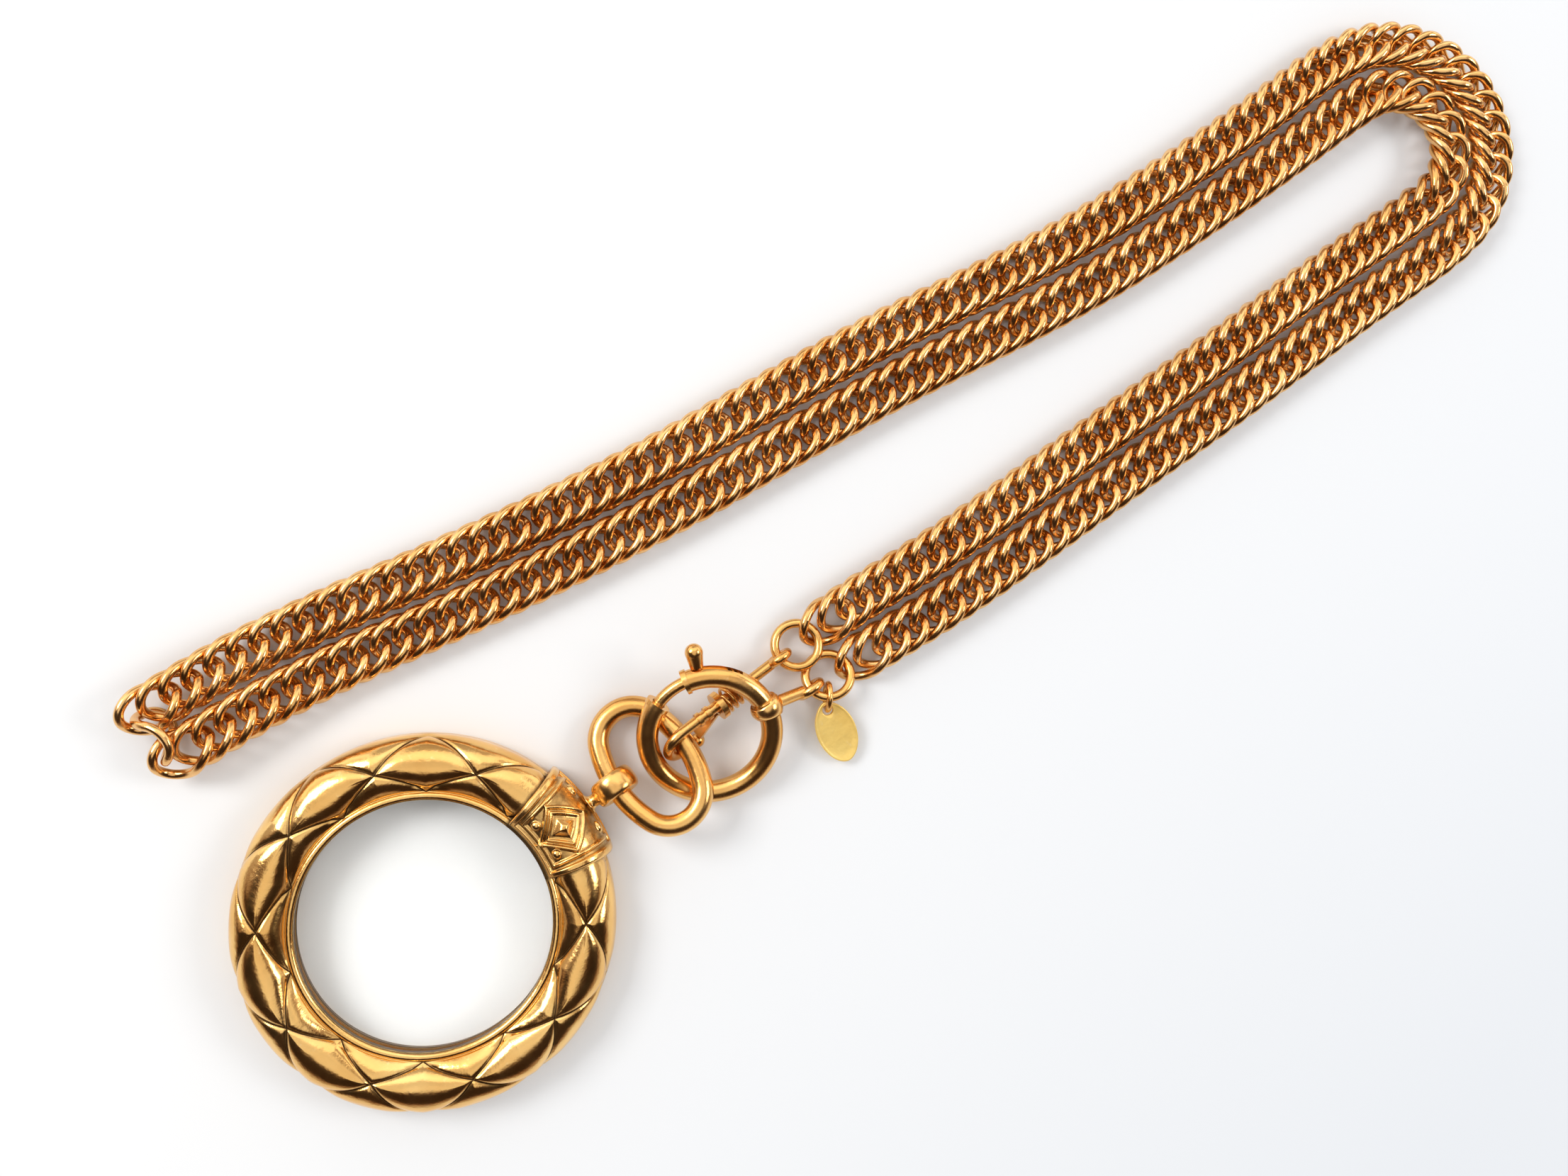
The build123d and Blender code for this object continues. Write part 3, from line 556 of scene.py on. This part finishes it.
def collar_relief(along, across, half_along, half_across):
    """Height of the collar's face over its floor, from the middle of the face."""
    border = min(half_along - abs(along), half_across - abs(across))
    rim = smooth(border, BORDER_WIDTH + BORDER_SLOPE, BORDER_WIDTH - BORDER_SLOPE)
    edge = 1 - smooth(border, 0.0, BORDER_ROUND)
    height = (COLLAR_OUTSIDE - COLLAR_FLOOR) * (rim - 0.5 * edge * edge)
    height += RIB_HEIGHT * smooth(abs(border - RIB_INSET), RIB_HALF_WIDTH, RIB_TOP)
    stone = abs(along) / STONE_HALF_ALONG + abs(across - STONE_SHIFT) / STONE_HALF_ACROSS
    for place, half_width, line_height in STONE_LINES:
        height += line_height * smooth(abs(stone - place), half_width, STONE_LINE_TOP)
    height += STONE_HEIGHT * smooth(stone, STONE_FOOT, STONE_TOP)
    for row in BEAD_ROWS:
        away = ((abs(along) - BEAD_COLUMN) ** 2 + (across - row) ** 2) ** 0.5
        height += BEAD_HEIGHT * max(0.0, 1 - (away / BEAD_RADIUS) ** 2) ** 0.5
    return height


def saddle_collar(material):
    """Saddle over the ring with a raised border, an inner rib and a lozenge on its face."""
    leg = CROWN_HEIGHT - COLLAR_FOOT
    bend = COLLAR_REACH * COLLAR_OUTSIDE
    half_across = (leg + bend) / 2
    half_along = COLLAR_SPAN / 2 * CROWN_RADIUS
    steps_along, steps_across = 120, 160

    def point(along_step, across_step, face):
        along = (2 * along_step / steps_along - 1) * half_along
        run = across_step / steps_across * (leg + bend)
        lift = COLLAR_INSIDE
        if face:
            lift = COLLAR_FLOOR + collar_relief(along, run - half_across, half_along, half_across)
        turn = max(0.0, run - leg) / COLLAR_OUTSIDE
        out = CROWN_RADIUS + lift * cos(turn)
        up = CROWN_HEIGHT + lift * sin(turn) - max(0.0, leg - run)
        way = along / CROWN_RADIUS
        return (out * cos(way), out * sin(way), up)

    rows = steps_across + 1
    spots = [point(a, c, face) for face in (True, False) for a in range(steps_along + 1) for c in range(rows)]
    back = (steps_along + 1) * rows
    faces = []
    for a in range(steps_along):
        for c in range(steps_across):
            n = a * rows + c
            faces.append((n, n + rows, n + rows + 1, n + 1))
            faces.append((back + n, back + n + 1, back + n + rows + 1, back + n + rows))
    last = steps_along * rows
    for c in range(steps_across):
        faces.append((c, c + 1, back + c + 1, back + c))
        faces.append((last + c + 1, last + c, back + last + c, back + last + c + 1))
    for a in range(steps_along):
        n = a * rows
        faces.append((n + rows, n, back + n, back + n + rows))
        m = n + steps_across
        faces.append((m, m + rows, back + m + rows, back + m))
    mesh = bpy.data.meshes.new("saddle_collar")
    mesh.from_pydata(spots, [], faces)
    return keep_piece("saddle_collar", mesh, material)


def signed_power(value, power):
    """A power that keeps the sign of the number that is raised."""
    return abs(value) ** power * (1 if value > 0 else -1)


def bail_loop(material):
    """Thick rounded loop on a short stalk at the collar's side."""
    way = Vector((0, cos(LINK_TILT), sin(LINK_TILT)))
    side = Vector((1, 0, 0))
    lift = side.cross(way).normalized()
    centre = Vector((BAIL_PLACE, 0, BAIL_HEIGHT))
    around, section = 72, 28
    middle = (BAIL_INSIDE + BAIL_OUTSIDE) / 2
    spots = []
    for n in range(around):
        turn = 2 * pi * n / around
        arm = side * cos(turn) + lift * sin(turn)
        for m in range(section):
            angle = 2 * pi * m / section
            out = signed_power(cos(angle), BAIL_POWER) * (BAIL_OUTSIDE - BAIL_INSIDE) / 2
            along = signed_power(sin(angle), BAIL_POWER) * BAIL_WIDTH / 2
            spots.append(centre + arm * (middle + out) + way * along)
    faces = ring_faces(around, section)
    stalk_steps, stalk_sides = 12, 32
    first = Vector((COLLAR_SIDE, 0, CROWN_HEIGHT))
    last = centre - side * (middle + STALK_OVERLAP)
    for n in range(stalk_steps + 1):
        share = n / stalk_steps
        flare = 1 + STALK_FLARE * (2 * share - 1) ** 4
        for m in range(stalk_sides):
            angle = 2 * pi * m / stalk_sides
            spots.append(first.lerp(last, share) + Vector((0, cos(angle), sin(angle))) * STALK_RADIUS * flare)
            if n < stalk_steps:
                a = around * section + n * stalk_sides
                near, far = a + m, a + (m + 1) % stalk_sides
                faces.append((near, far, far + stalk_sides, near + stalk_sides))
    start = around * section
    faces.append(tuple(start + m for m in reversed(range(stalk_sides))))
    faces.append(tuple(start + stalk_steps * stalk_sides + m for m in range(stalk_sides)))
    return closed_piece("bail_loop", spots, faces, material)


def clasp_place():
    """Turns the spring ring's own plane into the part's frame."""
    pull = joints["bolt_pull"]
    up = Vector(pull["axis"]).normalized()
    right = Vector((up.z, 0, -up.x)).normalized()
    turn = Matrix((right, up.cross(right), up)).transposed().to_4x4()
    return Matrix.Translation(Vector(pull["pos_m"])) @ turn


def return_coil(material):
    """Small coil spring bent round inside the spring ring, behind its bolt."""
    shape = Shape("return_coil", {"Steps": COIL_TURNS * COIL_TURN_STEPS, "Turns": COIL_TURNS,
                                  "Start": COIL_START, "Sweep": COIL_SWEEP,
                                  "Ring radius": CLASP_RADIUS, "Coil radius": COIL_RADIUS,
                                  "Wire radius": COIL_WIRE / 2})
    line = shape.node("GeometryNodeMeshLine", inputs={"Count": shape.size("Steps")})
    share = shape.node("GeometryNodeInputIndex") / (shape.size("Steps") - 1)
    turn = share * shape.size("Turns") * (2 * pi)
    way = shape.size("Start") + share * shape.size("Sweep")
    out = shape.size("Ring radius") + shape.size("Coil radius") * turn.maths("COSINE")
    place = shape.node("ShaderNodeCombineXYZ", inputs={
        0: out * way.maths("COSINE"), 1: out * way.maths("SINE"),
        2: shape.size("Coil radius") * turn.maths("SINE")})
    helix = shape.node("GeometryNodeSetPosition", inputs={"Geometry": line, "Position": place})
    path = shape.node("GeometryNodeMeshToCurve", inputs={0: helix})
    wire = shape.node("GeometryNodeCurvePrimitiveCircle", inputs={
        "Resolution": COIL_SIDES, "Radius": shape.size("Wire radius")})
    coil = shape.node("GeometryNodeCurveToMesh", inputs={0: path, 1: wire, "Fill Caps": True})
    piece = shape.piece(coil, material, bpy.data.meshes.new("coil_base"))
    piece.data.transform(clasp_place())
    return piece


def tab_cuff(material):
    """Swollen cuff of the tab, closed round the spring ring's tube."""
    steps, sides = 24, 72
    half = CUFF_LENGTH / 2 / CLASP_RADIUS
    section = [(-1, CLASP_TUBE + CUFF_GAP)]
    for n in range(steps + 1):
        share = 2 * n / steps - 1
        rise = CUFF_EDGE * (1 - share ** CUFF_POWER) ** 0.5 + CUFF_SWELL * (1 - share ** 2)
        section.append((share, CLASP_TUBE + rise))
    section.append((1, CLASP_TUBE + CUFF_GAP))
    points = []
    for share, reach in section:
        way = CUFF_PLACE + share * half
        for m in range(sides):
            turn = 2 * pi * m / sides
            out = CLASP_RADIUS + reach * cos(turn)
            points.append(Vector((out * cos(way), out * sin(way), reach * sin(turn))))
    return closed_piece("tab_cuff", points, ring_faces(len(section), sides), material, clasp_place())


def tag_outline(count):
    """Points round an oval, narrower at the hole so that it swings clear, and the way out at each."""
    spots = []
    for n in range(count):
        turn = 2 * pi * n / count
        share = (1 - cos(turn)) / 2
        power = TAG_HOLE_POWER + (TAG_TIP_POWER - TAG_HOLE_POWER) * min(2 * share, 1)
        half = TAG_HALF_WIDTH * abs(sin(turn)) ** power
        spots.append(Vector((share * TAG_LENGTH - TAG_INSET, half if turn < pi else -half, 0)))
    steps = [spots[(n + 1) % count] - spots[n - 1] for n in range(count)]
    ways = [Vector((-step.y, step.x, 0)).normalized() for step in steps]
    return spots, ways


def stamped_tag(material):
    """Thin tag with bare faces, a low rim, soft edges and a punched hole."""
    count = 120
    spots, ways = tag_outline(count)
    half_rings = []
    for inset, share in TAG_EDGE:
        rise = Vector((0, 0, share * TAG_HALF_THICK))
        half_rings.append([spot - way * inset + rise for spot, way in zip(spots, ways)])
    inner, face = TAG_EDGE[-1][0], TAG_EDGE[-1][1] * TAG_HALF_THICK
    for share in TAG_FACE_SHARES:
        half_rings.append([(spot - way * inner).lerp(spot.normalized() * (TAG_HOLE + TAG_LIP), share)
                           + Vector((0, 0, face)) for spot, way in zip(spots, ways)])
    half_rings.append([spot.normalized() * (TAG_HOLE + TAG_LIP) + Vector((0, 0, face)) for spot in spots])
    half_rings.append([spot.normalized() * TAG_HOLE + Vector((0, 0, face - TAG_LIP)) for spot in spots])
    under = [[Vector((spot.x, spot.y, -spot.z)) for spot in ring] for ring in reversed(half_rings)]
    rings = half_rings + under
    points = [spot for ring in rings for spot in ring]
    place = (Matrix.Translation(Vector(joints["tag_swing"]["pos_m"]))
             @ Matrix.Rotation(TAG_TURN, 4, "Z") @ Matrix.Rotation(TAG_PITCH, 4, "Y"))
    return closed_piece("stamped_tag", points, ring_faces(len(rings), count), material, place)


def ground():
    """Pale table that the necklace lies on."""
    mesh = bpy.data.meshes.new("ground")
    level = cad_box[0].z - TABLE_GAP
    corners = [(x * TABLE_HALF, y * TABLE_HALF, level) for x, y in ((-1, -1), (1, -1), (1, 1), (-1, 1))]
    mesh.from_pydata(corners, [], [(0, 1, 2, 3)])
    table = bpy.data.objects.new("ground", mesh)
    bpy.context.scene.collection.objects.link(table)
    mesh.materials.append(pale_ground())


def soft_lamp(name, place, aim, size, power):
    """Large soft lamp that looks at a point."""
    data = bpy.data.lights.new(name, "AREA")
    data.shape = "RECTANGLE"
    data.size, data.size_y = size
    data.energy = power
    lamp = bpy.data.objects.new(name, data)
    lamp.location = place
    lamp.rotation_mode = "QUATERNION"
    lamp.rotation_quaternion = (Vector(aim) - Vector(place)).to_track_quat("-Z", "Y")
    bpy.context.scene.collection.objects.link(lamp)


def studio_world():
    """Pale room, bright overhead and on the far side of the table, brown and dark on the near side."""
    world = bpy.data.worlds.new("studio")
    bpy.context.scene.world = world
    world.use_nodes = True
    room = Tree(world.node_tree)
    way = room.node("ShaderNodeTexCoord", output="Generated")
    x, y, z = room.parts(way)
    patch = room.node("ShaderNodeTexNoise", inputs={"Vector": way, "Scale": 2.2, "Detail": 3.0}) - 0.5
    ahead = x * AHEAD_X + y * AHEAD_Y + patch * 0.6
    side = x * AHEAD_Y - y * AHEAD_X + patch * 0.8
    near = room.spread(ahead, 0.10, -0.12) * room.spread(z, 0.93, 0.86) * room.spread(z, 0.10, 0.30)
    top = room.spread(z, 0.84, 0.93)
    beam = room.spread(abs(side), 0.55, 0.62) * room.spread(abs(side), 0.80, 0.72) * room.spread(z, 0.2, 0.4)
    window = room.spread(ahead, 0.30, 0.45) * room.spread(ahead, 0.92, 0.80)
    level = ROOM_LEVEL + window * WINDOW_LEVEL + top * (1 - window) * CEILING_LEVEL + patch * 0.8
    level = level * (1 - near * 0.97) * (1 - beam * 0.75) + DARKEST_LEVEL
    tone = room.mixed(room.spread(level, 0.05, 0.6), WARM_LIGHT, PALE_LIGHT)
    sky = room.node("ShaderNodeBackground", inputs={"Color": tone, "Strength": level})
    plain = room.node("ShaderNodeBackground", inputs={"Color": WHITE, "Strength": PLAIN_LEVEL})
    shiny = room.node("ShaderNodeLightPath", output="Is Glossy Ray")
    lit = room.node("ShaderNodeMixShader", inputs={0: shiny, 1: plain, 2: sky})
    backdrop = room.node("ShaderNodeBackground", inputs={"Color": WHITE, "Strength": 1.0})
    seen = room.node("ShaderNodeLightPath", output="Is Camera Ray")
    mix = room.node("ShaderNodeMixShader", inputs={0: seen, 1: lit, 2: backdrop})
    room.node("ShaderNodeOutputWorld", inputs={"Surface": mix})


def photo_camera():
    """Camera that sees the necklace as the photograph does."""
    data = bpy.data.cameras.new("photo_camera")
    data.sensor_width = SENSOR_WIDTH
    data.lens = PHOTO_FOCUS / PHOTO_WIDTH * SENSOR_WIDTH
    data.clip_start, data.clip_end = CAMERA_NEAREST, CAMERA_FARTHEST
    right = CAMERA_RIGHT.normalized()
    back = (CAMERA_BACK - right * CAMERA_BACK.dot(right)).normalized()
    up = back.cross(right)
    turn = Matrix((right, up, back)).transposed()
    camera = bpy.data.objects.new("photo_camera", data)
    camera.rotation_mode = "QUATERNION"
    camera.rotation_quaternion = turn.to_quaternion()
    camera.location = CAMERA_PLACE
    bpy.context.scene.collection.objects.link(camera)
    bpy.context.scene.camera = camera


bright_gold = gilt("bright_gold", (0.94, 0.58, 0.21), (0.80, 0.42, 0.12))
lattice_gold = gilt("lattice_gold", (0.95, 0.61, 0.23), (0.82, 0.46, 0.14),
                    gloss=0.11, cast=0.05 * MM, film_and_shade=groove_painted_shade)
collar_gold = gilt("collar_gold", (0.95, 0.61, 0.23), (0.80, 0.44, 0.13),
                   gloss=0.13, cast=0.06 * MM, film_and_shade=pocket_painted_shade)
chain_gold = gilt("chain_gold", (0.93, 0.57, 0.24), (0.76, 0.40, 0.13),
                  gloss=0.13, cast=0.02 * MM, film_and_shade=link_painted_shade)
tag_gold = gilt("tag_gold", (1.0, 0.72, 0.22), (0.92, 0.60, 0.15),
                gloss=0.24, cast=0.07 * MM, film_and_shade=tag_patina, metallic=0.35)
lens_glass = clear_lens()
spring_wire = drawn_wire("spring_wire", (0.86, 0.55, 0.24))

finishes = {name: bright_gold for name in nodes}
finishes.update({name: chain_gold for name in nodes if name.startswith("chain_")})
finishes.update({"front_bezel": lattice_gold, "back_bezel": lattice_gold, "collar_plate": collar_gold,
                 "collar_ornament": collar_gold, "bail_eye": collar_gold, "hang_tag": tag_gold,
                 "lens": lens_glass, "hook_gate": spring_wire, "gate_tail": spring_wire,
                 "return_spring": spring_wire})
for name, finish in finishes.items():
    nodes[name].data.materials.clear()
    nodes[name].data.materials.append(finish)

crown_piece = lattice_crown(lattice_gold)
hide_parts("front_bezel")
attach(crown_piece, "loupe")
collar_piece = saddle_collar(collar_gold)
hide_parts("collar_plate", "collar_ornament")
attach(collar_piece, "loupe")
bail_piece = bail_loop(bright_gold)
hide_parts("bail_eye")
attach(bail_piece, "loupe")
tag_piece = stamped_tag(tag_gold)
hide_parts("hang_tag")
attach(tag_piece, "tag")
cuff_piece = tab_cuff(bright_gold)
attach(cuff_piece, "clasp")
coil_piece = return_coil(spring_wire)
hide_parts("return_spring")
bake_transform(coil_piece)
ground()
studio_world()
soft_lamp("window_light", place=(-0.35, 0.75, 0.75), aim=LAMP_AIM, size=(0.5, 0.4), power=6.0)
soft_lamp("fill_light", place=(0.75, -0.35, 0.6), aim=LAMP_AIM, size=(0.4, 0.3), power=2.5)
photo_camera()
bpy.context.scene.view_settings.view_transform = "Standard"
